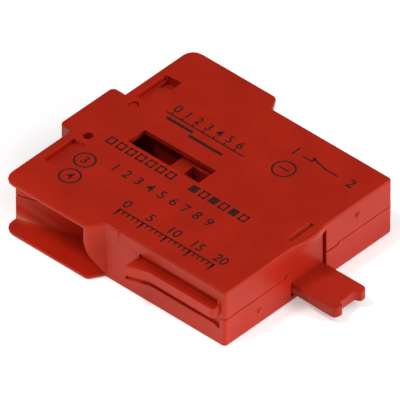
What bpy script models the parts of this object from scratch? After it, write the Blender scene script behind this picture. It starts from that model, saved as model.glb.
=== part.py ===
"""Snap-on contact block of an emergency stop button: one normally closed, double-break contact.

Millimetre sizes are written as value * MM. +X is the way the plunger points, +Z is the print side,
and the origin is the centre of the housing's lower wide face.
"""

import math

import bmesh
import bpy
from mathutils import Matrix, Vector

MM = 0.001

# Housing, outside
BODY_LENGTH = 41.7 * MM
BODY_THICKNESS = 10.0 * MM
FRONT_WIDTH = 35.8 * MM
FLANGE_REACH = 2.4 * MM
FLANGE_LENGTH = 16.7 * MM
FLANGE_CHAMFER = 1.4 * MM
FLANGE_THICKNESS = 0.6 * MM
FLANGE_REAR_RADIUS = 2.0 * MM
FLANGE_FRONT_RADIUS = 1.0 * MM
GUSSET_RIM = 0.7 * MM
GUSSET_KNEE = 1.9 * MM
TAB_LENGTH = 2.3 * MM
TAB_WIDTH = 11.5 * MM
TAB_RADIUS = 0.8 * MM
SIDE_RECESS = 0.2 * MM
SIDE_LAND = 2.6 * MM
CORNER_POST = 0.7 * MM
SIDE_RECESS_LENGTH = BODY_LENGTH - FLANGE_LENGTH - FLANGE_CHAMFER - SIDE_LAND - CORNER_POST
FRONT_RADIUS = 0.6 * MM
PARTING_WIDTH = 0.14 * MM
PARTING_DEPTH = 0.35 * MM

# Housing, walls
COVER = 1.0 * MM
SIDE_WALL = 1.3 * MM
FRONT_WALL = 1.4 * MM
WEB_WALL = 1.2 * MM
TAB_WALL = 1.55 * MM
RIB_WALL = 1.2 * MM
FUNNEL_STEP = 0.35 * MM
FUNNEL_RUN = 11.0 * MM
FUNNEL_DEPTH = 4.1 * MM
TERMINAL_INSET = 5.97 * MM

# Latch ribs, front pips and the two little tongues that line up the shells
LATCH_REACH = 1.33 * MM
LATCH_FLARE = 1.33 * MM
LATCH_FLARE_LENGTH = 3.4 * MM
LATCH_LENGTH = 16.1 * MM
LATCH_SETBACK = 1.1 * MM
LATCH_THICKNESS = 1.7 * MM
LATCH_RISE = 0.5 * MM
LATCH_RADIUS = 0.7 * MM
PIP_SPACING = 21.0 * MM
PIP_RISE = 2.6 * MM
PIP_ROOT_RADIUS = 0.9 * MM
PIP_TIP_RADIUS = 0.4 * MM
PIP_REACH = 0.25 * MM
UPPER_KEY_WIDTH = 2.4 * MM
LOWER_KEY_WIDTH = 1.0 * MM
KEY_HEIGHT = 0.45 * MM

# Window, lip and pockets of the print side
WINDOW_SETBACK = 20.0 * MM
WINDOW_LENGTH = 14.0 * MM
WINDOW_WIDTH = 3.7 * MM
LIP_BOW = 0.55 * MM
LIP_WIDTH = 6.8 * MM
LIP_SLOT_LENGTH = 5.0 * MM
LIP_SLOT_WIDTH = 0.7 * MM
GROOVE_SETBACK = 1.4 * MM
GROOVE_WIDTH = 2.9 * MM
GROOVE_LENGTH = 6.5 * MM
GROOVE_DEPTH = 0.9 * MM
GROOVE_RUNOUT = 0.06 * MM
POCKET_LENGTH = 2.3 * MM
POCKET_DEPTH = 1.6 * MM
PIN_SETBACK = 2.6 * MM
PIN_HOLE = 1.6 * MM
PIN_DIAMETER = 1.4 * MM
PIN_SUNK_DEEP = 1.4 * MM
PIN_SUNK_SHALLOW = 0.25 * MM

# Plunger
TONGUE_REACH = 8.4 * MM
TONGUE_WIDTH = 7.0 * MM
TONGUE_THICKNESS = 1.75 * MM
TONGUE_RADIUS = 0.9 * MM
TONGUE_TAPER = 0.1 * MM
NOTCH_WIDTH = 4.0 * MM
NOTCH_DEPTH = 0.85 * MM
NOTCH_FLANK = 0.5 * MM
FACE_SETBACK = 0.4 * MM
HEAD_WIDTH = 8.6 * MM
HEAD_LENGTH = 9.3 * MM
STEM_WIDTH = 5.4 * MM
STEM_LENGTH = 8.65 * MM
STEM_BAR = 2.6 * MM
STEM_HOLE_LENGTH = 3.2 * MM
STEM_HOLE_WIDTH = 3.2 * MM
BEAM_THICKNESS = 1.5 * MM
BOSS_DIAMETER = 2.4 * MM
FRONT_BOSS_LENGTH = 1.5 * MM
REAR_BOSS_LENGTH = 2.0 * MM

# Contacts
LOST_MOTION = 0.4 * MM
BRIDGE_THICKNESS = 0.6 * MM
BRIDGE_OVERHANG = 1.4 * MM
TIP_RADIUS = 1.25 * MM
TIP_THICKNESS = 0.55 * MM
TIP_RIM = 0.38 * MM
TIP_INSET = 3.03 * MM
CONTACT_GAP = 0.1 * MM
RAIL_THICKNESS = 0.8 * MM
RAIL_BEND = 0.9 * MM
CONTACT_LEG_OVERHANG = 1.6 * MM

# Springs
CONTACT_SPRING_LENGTH = 5.6 * MM
CONTACT_SPRING_DIAMETER = 4.0 * MM
CONTACT_SPRING_WIRE = 0.45 * MM
CONTACT_SPRING_TURNS = 4.5
RETURN_SPRING_DIAMETER = 4.0 * MM
RETURN_SPRING_WIRE = 0.5 * MM
RETURN_SPRING_TURNS = 9
POINTS_PER_TURN = 9

# Terminals
SCREW_INSET = 8.0 * MM
SCREW_DIAMETER = 3.5 * MM
HEAD_DIAMETER = 5.6 * MM
HEAD_HEIGHT = 1.8 * MM
HEAD_DEPTH = 1.95 * MM
SCREW_CHAMFER = 0.2 * MM
SLOT_WIDTH = 0.8 * MM
SLOT_DEPTH = 1.0 * MM
CROSS_LENGTH = 3.4 * MM
SHOULDER = 0.6 * MM
CAGE_TRAVEL = 2.8 * MM
CAGE_WIDTH = 4.8 * MM
CAGE_REAR_WALL = 1.3 * MM
CAGE_FRONT_WALL = 1.2 * MM
CAGE_SIDE_WALL = 0.7 * MM
WIRE_SPARE = 0.4 * MM

# Clearances
FIT = 0.2 * MM
LOOSE = 0.3 * MM
OPENING_SPARE = 0.25 * MM
OVERLAP = 0.5 * MM
REACH_PAST = 2.0 * MM

# Roundness
ARC_STEPS = 4
ROUND_SIDES = 20
SMALL_SIDES = 14
SHARP_ANGLE = math.radians(35)
WELD = 1e-7
SPIN_WELD = 1e-6

SIDES = (("left", -1), ("right", 1))

# Places along X
FRONT_X = BODY_LENGTH / 2
REAR_X = -BODY_LENGTH / 2
TAB_X = REAR_X - TAB_LENGTH
FLANGE_X = REAR_X + FLANGE_LENGTH
CHAMFER_X = FLANGE_X + FLANGE_CHAMFER
GUSSET_X = FLANGE_X - GUSSET_RIM
FUNNEL_KINK_X = REAR_X + FUNNEL_RUN
CHAMBER_REAR_X = CHAMFER_X + WEB_WALL
FRONT_INNER_X = FRONT_X - FRONT_WALL

SCREW_TOP_X = REAR_X + HEAD_DEPTH
SCREW_SEAT_X = SCREW_TOP_X + HEAD_HEIGHT
SHOULDER_REAR_X = SCREW_SEAT_X + FIT
SHOULDER_FRONT_X = SHOULDER_REAR_X + SHOULDER
CAGE_REAR_X = SHOULDER_FRONT_X + CAGE_TRAVEL + FIT
CAGE_INNER_REAR_X = CAGE_REAR_X + CAGE_REAR_WALL
LEG_REAR_X = CAGE_INNER_REAR_X + 2 * FIT
LEG_FRONT_X = LEG_REAR_X + RAIL_THICKNESS
SCREW_TIP_X = LEG_REAR_X - FIT
CAGE_INNER_FRONT_X = LEG_FRONT_X + CAGE_TRAVEL + WIRE_SPARE
CAGE_FRONT_X = CAGE_INNER_FRONT_X + CAGE_FRONT_WALL

FACE_X = FRONT_X - FACE_SETBACK
TONGUE_X = FRONT_X + TONGUE_REACH
HEAD_FRONT_X = FRONT_INNER_X - LOOSE
HEAD_REAR_X = HEAD_FRONT_X - HEAD_LENGTH
BRIDGE_FRONT_X = HEAD_REAR_X - LOST_MOTION - FIT
BRIDGE_REAR_X = BRIDGE_FRONT_X - BRIDGE_THICKNESS
FIXED_TIP_X = BRIDGE_FRONT_X + TIP_THICKNESS + CONTACT_GAP
CONTACT_LEG_X = FIXED_TIP_X + TIP_THICKNESS
ANVIL_X = CONTACT_LEG_X + RAIL_THICKNESS + LOOSE
STEM_FRONT_X = BRIDGE_REAR_X - CONTACT_SPRING_LENGTH - 2 * FIT
STEM_REAR_X = STEM_FRONT_X - STEM_LENGTH
SPRING_SEAT_X = TAB_X + TAB_WALL

# Places along Y
HALF_WIDTH = FRONT_WIDTH / 2
FLANGE_Y = HALF_WIDTH + FLANGE_REACH
SCREW_Y = HALF_WIDTH - SCREW_INSET
STEM_CHANNEL_Y = STEM_WIDTH / 2 + LOOSE
HEAD_CHANNEL_Y = HEAD_WIDTH / 2 + LOOSE
OPENING_Y = TONGUE_WIDTH / 2 + OPENING_SPARE
BORE_RADIUS = HEAD_DIAMETER / 2 + LOOSE
RAIL_INNER_Y = SCREW_Y - CAGE_WIDTH / 2 - LOOSE - RAIL_THICKNESS / 2
TERMINAL_INNER_Y = RAIL_INNER_Y - RAIL_THICKNESS / 2 - FIT
PIN_Y = (STEM_CHANNEL_Y + SCREW_Y - BORE_RADIUS) / 2

# Places along Z
MID_Z = BODY_THICKNESS / 2
FLOOR_Z = COVER
CEILING_Z = BODY_THICKNESS - COVER
PLUNGER_LOW_Z = FLOOR_Z + FIT
PLUNGER_HIGH_Z = CEILING_Z - 2 * FIT
PLUNGER_MID_Z = (PLUNGER_LOW_Z + PLUNGER_HIGH_Z) / 2
OPENING_LOW_Z = PLUNGER_LOW_Z - LOOSE
OPENING_HIGH_Z = PLUNGER_HIGH_Z + FIT
CAGE_LOW_Z = FLOOR_Z + LOOSE
CAGE_HIGH_Z = CEILING_Z - LOOSE
RAIL_LOW_Z = CAGE_LOW_Z + CAGE_SIDE_WALL + 2 * FIT
RAIL_HIGH_Z = CAGE_HIGH_Z - CAGE_SIDE_WALL - 2 * FIT


def web_y(x):
    """Outer face of the web at the back of a wire funnel, which slants in and then runs straight."""
    run = min(x - REAR_X, FUNNEL_RUN) / FUNNEL_RUN
    return HALF_WIDTH - FUNNEL_STEP - (FUNNEL_DEPTH - FUNNEL_STEP) * run


ROOM_Y = SCREW_Y + CAGE_WIDTH / 2 + 2 * LOOSE
ROOM_FRONT_Y = HALF_WIDTH - TERMINAL_INSET
RAIL_OUTER_Y = ROOM_FRONT_Y - LOOSE - RAIL_THICKNESS / 2
TIP_SPACING = 2 * (RAIL_OUTER_Y - TIP_INSET)
CONTACT_LEG_LENGTH = TIP_INSET + CONTACT_LEG_OVERHANG
BRIDGE_LENGTH = TIP_SPACING + 2 * BRIDGE_OVERHANG


def clear_scene():
    for thing in list(bpy.data.objects):
        bpy.data.objects.remove(thing, do_unlink=True)


def make_collection(name):
    made = bpy.data.collections.new(name)
    bpy.context.scene.collection.children.link(made)
    return made


def make_material(name, colour, roughness, metallic=0.0):
    made = bpy.data.materials.new(name)
    made.use_nodes = True
    shader = made.node_tree.nodes["Principled BSDF"]
    shader.inputs["Base Color"].default_value = (*colour, 1.0)
    shader.inputs["Roughness"].default_value = roughness
    shader.inputs["Metallic"].default_value = metallic
    made.diffuse_color = (*colour, 1.0)
    return made


def object_from(name, mesh, matrix=None):
    """A mesh object that no collection holds yet, with its place applied to its mesh."""
    if matrix is not None:
        mesh.transform(matrix)
    return bpy.data.objects.new(name, mesh)


def mesh_of(source):
    """The evaluated mesh of a curve or of a mesh with modifiers, welded; the source is removed."""
    bpy.context.scene.collection.objects.link(source)
    graph = bpy.context.evaluated_depsgraph_get()
    mesh = bpy.data.meshes.new_from_object(source.evaluated_get(graph))
    bpy.data.objects.remove(source, do_unlink=True)
    work = bmesh.new()
    work.from_mesh(mesh)
    bmesh.ops.remove_doubles(work, verts=work.verts, dist=WELD)
    bmesh.ops.recalc_face_normals(work, faces=work.faces)
    work.to_mesh(mesh)
    work.free()
    return mesh


def plate(name, outline, low, high):
    """A flat outline in plan, filled and raised between two heights."""
    curve = bpy.data.curves.new(name, "CURVE")
    curve.dimensions = "2D"
    curve.fill_mode = "BOTH"
    curve.extrude = (high - low) / 2
    spline = curve.splines.new("POLY")
    spline.points.add(len(outline) - 1)
    for point, (x, y) in zip(spline.points, outline):
        point.co = (x, y, 0.0, 1.0)
    spline.use_cyclic_u = True
    mesh = mesh_of(bpy.data.objects.new(name, curve))
    return object_from(name, mesh, Matrix.Translation((0.0, 0.0, (low + high) / 2)))


def block(name, low, high):
    """A box between two corners."""
    low = Vector(low)
    high = Vector(high)
    work = bmesh.new()
    bmesh.ops.create_cube(work, size=1.0)
    size = Matrix.Diagonal((*(high - low), 1.0))
    bmesh.ops.transform(work, matrix=Matrix.Translation((low + high) / 2) @ size, verts=work.verts)
    mesh = bpy.data.meshes.new(name)
    work.to_mesh(mesh)
    work.free()
    return object_from(name, mesh)


def rod(name, start, end, radius, sides, end_radius=None):
    """A straight rod between two points, or a taper where the end has a radius of its own."""
    start = Vector(start)
    end = Vector(end)
    run = end - start
    work = bmesh.new()
    bmesh.ops.create_cone(
        work,
        cap_ends=True,
        segments=sides,
        radius1=radius,
        radius2=radius if end_radius is None else end_radius,
        depth=run.length,
    )
    turn = Vector((0.0, 0.0, 1.0)).rotation_difference(run).to_matrix().to_4x4()
    place = Matrix.Translation((start + end) / 2) @ turn
    bmesh.ops.transform(work, matrix=place, verts=work.verts)
    mesh = bpy.data.meshes.new(name)
    work.to_mesh(mesh)
    work.free()
    return object_from(name, mesh)


def turned(name, profile, matrix):
    """A profile of (radius, height), from its top on the axis to its foot on the axis, spun about Z."""
    work = bmesh.new()
    made = [work.verts.new((radius, 0.0, height)) for radius, height in profile]
    for first, second in zip(made, made[1:]):
        work.edges.new((first, second))
    mesh = bpy.data.meshes.new(name)
    work.to_mesh(mesh)
    work.free()
    source = bpy.data.objects.new(name, mesh)
    spin = source.modifiers.new("spin", "SCREW")
    spin.steps = ROUND_SIDES
    spin.render_steps = ROUND_SIDES
    spin.use_merge_vertices = True
    spin.merge_threshold = SPIN_WELD
    return object_from(name, mesh_of(source), matrix)


def rounded(corners):
    """A closed outline whose corners (x, y, radius) are replaced by arcs; radius 0 stays sharp."""
    outline = []
    for index, (x, y, radius) in enumerate(corners):
        corner = Vector((x, y))
        if not radius:
            outline.append((x, y))
            continue
        before = (Vector(corners[index - 1][:2]) - corner).normalized()
        after = (Vector(corners[(index + 1) % len(corners)][:2]) - corner).normalized()
        half = before.angle(after) / 2
        centre = corner + (before + after).normalized() * radius / math.sin(half)
        start = corner + before * radius / math.tan(half) - centre
        end = corner + after * radius / math.tan(half) - centre
        sweep = start.angle_signed(end)
        for step in range(ARC_STEPS + 1):
            arm = start.copy()
            arm.rotate(Matrix.Rotation(-sweep * step / ARC_STEPS, 2))
            outline.append(tuple(centre + arm))
    return outline


def strip_outline(path, thickness, bend):
    """The closed outline of a flat strip on edge that follows a path with rounded bends."""
    sharp = [(x, y, bend) for x, y in path]
    sharp[0] = (*path[0], 0.0)
    sharp[-1] = (*path[-1], 0.0)
    line = [Vector(point) for point in rounded(sharp)]
    left = []
    right = []
    for index, point in enumerate(line):
        into = (point - line[index - 1]).normalized() if index else None
        out = (line[index + 1] - point).normalized() if index + 1 < len(line) else None
        into = into or out
        out = out or into
        along = (into + out).normalized()
        across = Vector((-along.y, along.x)) * (thickness / 2 / along.dot(into))
        left.append(tuple(point + across))
        right.append(tuple(point - across))
    return left + right[::-1]


def turn_over(piece):
    """Half a turn about the plunger's axis, which carries the upper shell's features to the lower one."""
    about = Matrix.Translation((0.0, 0.0, BODY_THICKNESS)) @ Matrix.Rotation(math.pi, 4, "X")
    piece.data.transform(about)


def keep_tool(tool):
    """A cutter or a joined shape stays in its own collection, out of the render."""
    tool.hide_render = True
    tool.display_type = "WIRE"
    cutters.objects.link(tool)
    return tool


def boolean(target, tool, operation):
    step = target.modifiers.new(tool.name, "BOOLEAN")
    step.operation = operation
    step.solver = "EXACT"
    step.object = tool


def cut(target, tool):
    boolean(target, tool, "DIFFERENCE")


def join(target, tool):
    boolean(target, tool, "UNION")


def finish(piece, material, origin=(0.0, 0.0, 0.0)):
    """Puts a piece in the parts' collection, with its origin on its seat or its joint's axis."""
    origin = Vector(origin)
    piece.data.transform(Matrix.Translation(-origin))
    piece.location = origin
    piece.data.materials.append(material)
    if piece.type == "MESH":
        piece.data.shade_smooth()
        piece.data.set_sharp_from_angle(angle=SHARP_ANGLE)
    parts.objects.link(piece)
    return piece


def housing_outline():
    """The shells' outline in plan: front section, wide wire flanges, and the rear tab."""
    half = [
        (FRONT_X, HALF_WIDTH, FRONT_RADIUS),
        (CHAMFER_X, HALF_WIDTH, 0.0),
        (FLANGE_X, FLANGE_Y, FLANGE_FRONT_RADIUS),
        (REAR_X, FLANGE_Y, FLANGE_REAR_RADIUS),
        (REAR_X, TAB_WIDTH / 2, 0.0),
        (TAB_X, TAB_WIDTH / 2, TAB_RADIUS),
    ]
    other = [(x, -y, radius) for x, y, radius in reversed(half)]
    return rounded(half + other)


def funnel(side, name):
    """The space between the flanges on one side; its front end is upright under one flange, then leans."""
    past_x = REAR_X - REACH_PAST
    past_y = FLANGE_Y + REACH_PAST
    reach = MID_Z - FLANGE_THICKNESS
    levels = [(-reach, CHAMFER_X), (GUSSET_KNEE, GUSSET_X), (reach, GUSSET_X)]
    work = bmesh.new()
    rings = []
    for rise, front in levels:
        outline = [
            (past_x, web_y(past_x)),
            (FUNNEL_KINK_X, web_y(FUNNEL_KINK_X)),
            (front, web_y(front)),
            (front, past_y),
            (past_x, past_y),
        ]
        rings.append([work.verts.new((x, side * y, MID_Z - side * rise)) for x, y in outline])
    work.faces.new(rings[0])
    work.faces.new(rings[-1])
    for lower, upper in zip(rings, rings[1:]):
        for at in range(len(lower)):
            work.faces.new((lower[at - 1], lower[at], upper[at], upper[at - 1]))
    bmesh.ops.recalc_face_normals(work, faces=work.faces)
    mesh = bpy.data.meshes.new(name)
    work.to_mesh(mesh)
    work.free()
    return object_from(name, mesh)


def common_cutters():
    """What is hollow in both shells: chambers, channels, bores, funnels and the plunger's opening."""
    inner_y = HALF_WIDTH - SIDE_WALL
    rib_y = HEAD_CHANNEL_Y + RIB_WALL
    tools = [
        block("contact_chamber", (CHAMBER_REAR_X, -inner_y, FLOOR_Z), (ANVIL_X, inner_y, CEILING_Z)),
        block(
            "head_channel",
            (ANVIL_X - OVERLAP, -HEAD_CHANNEL_Y, FLOOR_Z),
            (FRONT_INNER_X, HEAD_CHANNEL_Y, CEILING_Z),
        ),
        block(
            "stem_channel",
            (SPRING_SEAT_X, -STEM_CHANNEL_Y, FLOOR_Z),
            (CHAMBER_REAR_X + OVERLAP, STEM_CHANNEL_Y, CEILING_Z),
        ),
        block(
            "plunger_opening",
            (FRONT_INNER_X - OVERLAP, -OPENING_Y, OPENING_LOW_Z),
            (FRONT_X + REACH_PAST, OPENING_Y, OPENING_HIGH_Z),
        ),
    ]
    for name, side in SIDES:
        terminal_room = [
            (SHOULDER_FRONT_X, side * TERMINAL_INNER_Y),
            (SHOULDER_FRONT_X, side * ROOM_Y),
            (CAGE_FRONT_X + FIT, side * ROOM_Y),
            (CHAMFER_X, side * ROOM_FRONT_Y),
            (CHAMBER_REAR_X + OVERLAP, side * ROOM_FRONT_Y),
            (CHAMBER_REAR_X + OVERLAP, side * TERMINAL_INNER_Y),
        ]
        front_room = sorted((side * rib_y, side * inner_y))
        wire_way = sorted((side * (ROOM_FRONT_Y - OVERLAP), side * HALF_WIDTH))
        screw_axis = (side * SCREW_Y, MID_Z)
        tools += [
            plate(f"terminal_room_{name}", terminal_room, FLOOR_Z, CEILING_Z),
            block(
                f"front_room_{name}",
                (ANVIL_X + RIB_WALL, front_room[0], FLOOR_Z),
                (FRONT_INNER_X, front_room[1], CEILING_Z),
            ),
            rod(
                f"screw_bore_{name}",
                (REAR_X - REACH_PAST, *screw_axis),
                (SHOULDER_REAR_X, *screw_axis),
                BORE_RADIUS,
                ROUND_SIDES,
            ),
            rod(
                f"shank_hole_{name}",
                (SHOULDER_REAR_X - OVERLAP, *screw_axis),
                (SHOULDER_FRONT_X + OVERLAP, *screw_axis),
                SCREW_DIAMETER / 2 + FIT,
                SMALL_SIDES,
            ),
            block(
                f"wire_way_{name}",
                (LEG_FRONT_X, wire_way[0], RAIL_LOW_Z),
                (CAGE_INNER_FRONT_X, wire_way[1], RAIL_HIGH_Z),
            ),
            funnel(side, f"funnel_{name}"),
            rod(
                f"pin_hole_{name}",
                (REAR_X + PIN_SETBACK, side * PIN_Y, -REACH_PAST),
                (REAR_X + PIN_SETBACK, side * PIN_Y, BODY_THICKNESS + REACH_PAST),
                PIN_HOLE / 2,
                SMALL_SIDES,
            ),
        ]
    return [keep_tool(tool) for tool in tools]


def groove(side, name):
    """A shallow ramp in the wide face over a screw, deepest at its rear wall."""
    rear = REAR_X + GROOVE_SETBACK
    ends = sorted(side * (SCREW_Y + offset * GROOVE_LENGTH / 2) for offset in (-1, 1))
    top = BODY_THICKNESS + REACH_PAST
    tool = block(
        name,
        (rear, ends[0], BODY_THICKNESS - GROOVE_DEPTH),
        (rear + GROOVE_WIDTH, ends[1], top),
    )
    for vertex in tool.data.vertices:
        if vertex.co.x > rear + GROOVE_WIDTH / 2 and vertex.co.z < BODY_THICKNESS:
            vertex.co.z = BODY_THICKNESS + GROOVE_RUNOUT
    return tool


def deep_pocket(name):
    """A square pocket at the outer end of one ramp."""
    rear = REAR_X + GROOVE_SETBACK + LOOSE
    outer = SCREW_Y + GROOVE_LENGTH / 2 + FIT / 2
    return block(
        name,
        (rear, outer - POCKET_LENGTH, BODY_THICKNESS - POCKET_DEPTH),
        (rear + GROOVE_WIDTH - LOOSE, outer, BODY_THICKNESS + REACH_PAST),
    )


def side_recess(name):
    """A shallow step in the side wall over the rib, which leaves a post at the front corner."""
    front = FRONT_X - CORNER_POST
    rib_top = MID_Z + LATCH_RISE + LATCH_THICKNESS
    return block(
        name,
        (front - SIDE_RECESS_LENGTH, -(HALF_WIDTH + REACH_PAST), rib_top - FIT),
        (front, -(HALF_WIDTH - SIDE_RECESS), BODY_THICKNESS + REACH_PAST),
    )


def latch_rib(name):
    """The ledge on one side wall, with its rear end flared out as the catch."""
    front = FRONT_X - LATCH_SETBACK
    rear = front - LATCH_LENGTH
    root = HALF_WIDTH - SIDE_RECESS - OVERLAP
    crest = HALF_WIDTH + LATCH_REACH
    outline = rounded(
        [
            (front, -root, 0.0),
            (rear, -root, 0.0),
            (rear, -(crest + LATCH_FLARE), 0.0),
            (rear + LATCH_FLARE_LENGTH, -crest, 0.0),
            (front, -crest, LATCH_RADIUS),
        ]
    )
    low = MID_Z + LATCH_RISE
    return plate(name, outline, low, low + LATCH_THICKNESS)


def front_pip(name):
    y = PIP_SPACING / 2
    z = MID_Z + PIP_RISE
    return rod(
        name,
        (FRONT_X - OVERLAP, y, z),
        (FRONT_X + PIP_REACH, y, z),
        PIP_ROOT_RADIUS,
        SMALL_SIDES,
        PIP_TIP_RADIUS,
    )


def key_tongue(name, width):
    """A little tongue beside the opening that drops past the parting line into the other shell."""
    return block(
        name,
        (FRONT_INNER_X + FIT, OPENING_Y, MID_Z - KEY_HEIGHT + FIT),
        (FRONT_X, OPENING_Y + width, MID_Z + OVERLAP),
    )


def key_notch(name, width):
    """Room in a shell for the other shell's tongue."""
    return block(
        name,
        (FRONT_INNER_X - OVERLAP, -(OPENING_Y + width + FIT), MID_Z - OVERLAP),
        (FRONT_X + OVERLAP, -(OPENING_Y - FIT), MID_Z + KEY_HEIGHT),
    )


def parting_groove():
    """A hairline round the outside where the shells meet; inside it they rest on each other."""
    past_y = FLANGE_Y + REACH_PAST
    hairline = block(
        "parting_groove",
        (TAB_X - REACH_PAST, -past_y, MID_Z - PARTING_WIDTH / 2),
        (FRONT_X + REACH_PAST, past_y, MID_Z + PARTING_WIDTH / 2),
    )
    lean = GUSSET_KNEE / (MID_Z - FLANGE_THICKNESS + GUSSET_KNEE)
    funnel_x = GUSSET_X + (CHAMFER_X - GUSSET_X) * lean
    half = [
        (FRONT_X, HALF_WIDTH),
        (funnel_x + 2 * PARTING_DEPTH, HALF_WIDTH),
        (funnel_x + 2 * PARTING_DEPTH, web_y(funnel_x)),
        (FUNNEL_KINK_X + PARTING_DEPTH, web_y(FUNNEL_KINK_X)),
        (REAR_X + 2 * PARTING_DEPTH, web_y(REAR_X)),
        (REAR_X + 2 * PARTING_DEPTH, TAB_WIDTH / 2),
        (TAB_X + 2 * PARTING_DEPTH, TAB_WIDTH / 2),
    ]
    half = [(x - PARTING_DEPTH, y - PARTING_DEPTH) for x, y in half]
    land = half + [(x, -y) for x, y in reversed(half)]
    cut(hairline, keep_tool(plate("parting_land", land, 0.0, BODY_THICKNESS)))
    return keep_tool(hairline)


def window_tools():
    """The print side's own openings: the window over the stem, and the slot behind the lip."""
    window_front = FRONT_X - WINDOW_SETBACK
    low = CEILING_Z - OVERLAP
    high = BODY_THICKNESS + REACH_PAST
    window = block(
        "window",
        (window_front - WINDOW_LENGTH, -WINDOW_WIDTH / 2, low),
        (window_front, WINDOW_WIDTH / 2, high),
    )
    slot = block(
        "lip_slot",
        (FRONT_INNER_X - LIP_SLOT_WIDTH, -LIP_SLOT_LENGTH / 2, low),
        (FRONT_INNER_X, LIP_SLOT_LENGTH / 2, high),
    )
    return window, slot


def lip(name):
    """The upper edge over the plunger's opening, bowed forward in plan."""
    half = LIP_WIDTH / 2
    radius = (half * half + LIP_BOW * LIP_BOW) / (2 * LIP_BOW)
    centre_x = FRONT_X + LIP_BOW - radius
    most = math.asin(half / radius)
    steps = 2 * ARC_STEPS
    outline = [(FRONT_X - OVERLAP, half), (FRONT_X - OVERLAP, -half)]
    for step in range(steps + 1):
        angle = most * (2 * step / steps - 1)
        outline.append((centre_x + radius * math.cos(angle), radius * math.sin(angle)))
    return plate(name, outline, OPENING_HIGH_Z, BODY_THICKNESS)


def make_shell(name, low, high, turned_over, tools, material):
    """One half of the housing; the lower one's own features are the upper one's, turned over."""
    shell = plate(name, housing_outline(), low, high)
    own_key, other_key = UPPER_KEY_WIDTH, LOWER_KEY_WIDTH
    if turned_over:
        own_key, other_key = other_key, own_key
    cuts = [
        groove(-1, f"{name}_groove_left"),
        groove(1, f"{name}_groove_right"),
        deep_pocket(f"{name}_pocket"),
        side_recess(f"{name}_side_recess"),
        key_notch(f"{name}_key_notch", other_key),
    ]
    joins = [
        latch_rib(f"{name}_latch_rib"),
        front_pip(f"{name}_pip"),
        key_tongue(f"{name}_key", own_key),
    ]
    if turned_over:
        for tool in cuts + joins:
            turn_over(tool)
    else:
        cuts += window_tools()
        joins.append(lip(f"{name}_lip"))
    for tool in tools:
        cut(shell, tool)
    for tool in cuts:
        cut(shell, keep_tool(tool))
    for tool in joins:
        join(shell, keep_tool(tool))
    return finish(shell, material)


def make_plunger(material):
    stem_y = STEM_WIDTH / 2
    head_y = HEAD_WIDTH / 2
    neck_y = TONGUE_WIDTH / 2
    half = [
        (STEM_REAR_X, stem_y),
        (HEAD_REAR_X, stem_y),
        (HEAD_REAR_X, head_y),
        (HEAD_FRONT_X, head_y),
        (HEAD_FRONT_X, neck_y),
        (FACE_X, neck_y),
    ]
    outline = half + [(x, -y) for x, y in reversed(half)]
    body = plate("plunger", outline, PLUNGER_LOW_Z, PLUNGER_HIGH_Z)
    hole_rear = STEM_REAR_X + STEM_BAR
    cut(
        body,
        keep_tool(
            block(
                "bridge_window",
                (STEM_FRONT_X, -head_y - OVERLAP, PLUNGER_LOW_Z + BEAM_THICKNESS),
                (HEAD_REAR_X, head_y + OVERLAP, PLUNGER_HIGH_Z - BEAM_THICKNESS),
            )
        ),
    )
    cut(
        body,
        keep_tool(
            block(
                "stem_hole",
                (hole_rear, -STEM_HOLE_WIDTH / 2, -OVERLAP),
                (hole_rear + STEM_HOLE_LENGTH, STEM_HOLE_WIDTH / 2, BODY_THICKNESS + OVERLAP),
            )
        ),
    )
    notch_y = NOTCH_WIDTH / 2
    notch_x = TONGUE_X - NOTCH_DEPTH
    half = [
        (FACE_X - OVERLAP, neck_y - TONGUE_TAPER, 0.0),
        (TONGUE_X, neck_y, TONGUE_RADIUS),
        (TONGUE_X, notch_y, 0.0),
        (notch_x, notch_y - NOTCH_FLANK, 0.0),
    ]
    tongue = rounded(half + [(x, -y, radius) for x, y, radius in reversed(half)])
    top = PLUNGER_LOW_Z + TONGUE_THICKNESS
    join(body, keep_tool(plate("tongue", tongue, PLUNGER_LOW_Z, top)))
    axis = (0.0, PLUNGER_MID_Z)
    bosses = (
        ("front_boss", STEM_FRONT_X - OVERLAP, STEM_FRONT_X + FRONT_BOSS_LENGTH),
        ("rear_boss", STEM_REAR_X + OVERLAP, STEM_REAR_X - REAR_BOSS_LENGTH),
    )
    for name, start, end in bosses:
        join(body, keep_tool(rod(name, (start, *axis), (end, *axis), BOSS_DIAMETER / 2, SMALL_SIDES)))
    return finish(body, material, (FACE_X, 0.0, PLUNGER_MID_Z))


def make_bridge(material):
    window = PLUNGER_HIGH_Z - PLUNGER_LOW_Z - 2 * BEAM_THICKNESS
    half_height = window / 2 - FIT
    bridge = block(
        "contact_bridge",
        (BRIDGE_REAR_X, -BRIDGE_LENGTH / 2, PLUNGER_MID_Z - half_height),
        (BRIDGE_FRONT_X, BRIDGE_LENGTH / 2, PLUNGER_MID_Z + half_height),
    )
    return finish(bridge, material, (BRIDGE_REAR_X, 0.0, PLUNGER_MID_Z))


def make_tip(name, seat_x, side, facing, material):
    """A domed contact rivet on a face that looks along X; facing is +1 or -1."""
    crown = TIP_THICKNESS - TIP_RIM
    turns = [math.pi / 2 * step / ARC_STEPS for step in range(ARC_STEPS + 1)]
    profile = [(TIP_RADIUS * math.sin(turn), TIP_RIM + crown * math.cos(turn)) for turn in turns]
    profile += [(TIP_RADIUS, 0.0), (0.0, 0.0)]
    place = Vector((seat_x, side * TIP_SPACING / 2, PLUNGER_MID_Z))
    turn = Matrix.Rotation(facing * math.pi / 2, 4, "Y")
    tip = turned(name, profile, Matrix.Translation(place) @ turn)
    return finish(tip, material, place)


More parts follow.
